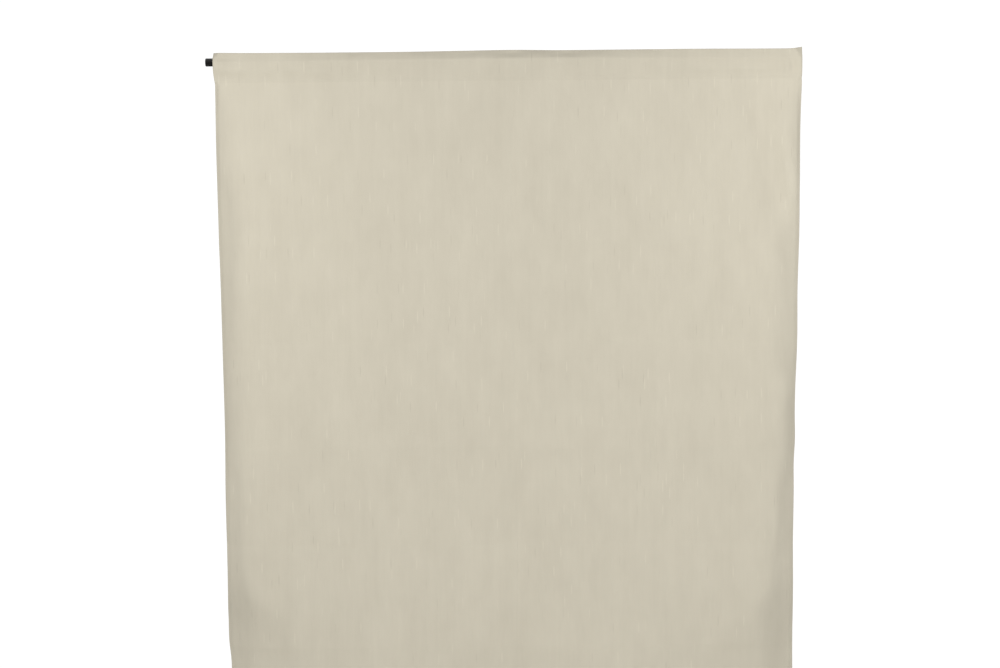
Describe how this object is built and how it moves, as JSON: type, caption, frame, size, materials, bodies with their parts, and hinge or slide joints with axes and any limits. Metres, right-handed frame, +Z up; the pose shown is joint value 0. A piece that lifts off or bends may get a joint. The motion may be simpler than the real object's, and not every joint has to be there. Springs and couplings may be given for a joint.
{
  "type": "curtain panel on a rod",
  "caption": "Flat-hung linen-look curtain panel with a sewn rod pocket, hanging on a thin black rod that sticks out at its left end.",
  "frame": {"origin": "on the rod's axis, at the middle of the panel's width", "axes": "+Z up, from the hem to the rod; +Y from the room towards the window, through the cloth's thickness; +X along the rod, to the right as seen from the room"},
  "size_m": [1.3383, 0.0639, 2.1397],
  "materials": {
    "cloth": "plain-woven linen-look cloth, matt, warm beige, a little translucent, with fine slubs",
    "rod_paint": "satin black paint"
  },
  "bodies": {
    "root": {"panel": "cloth", "rod": "rod_paint"}
  },
  "joints": []
}
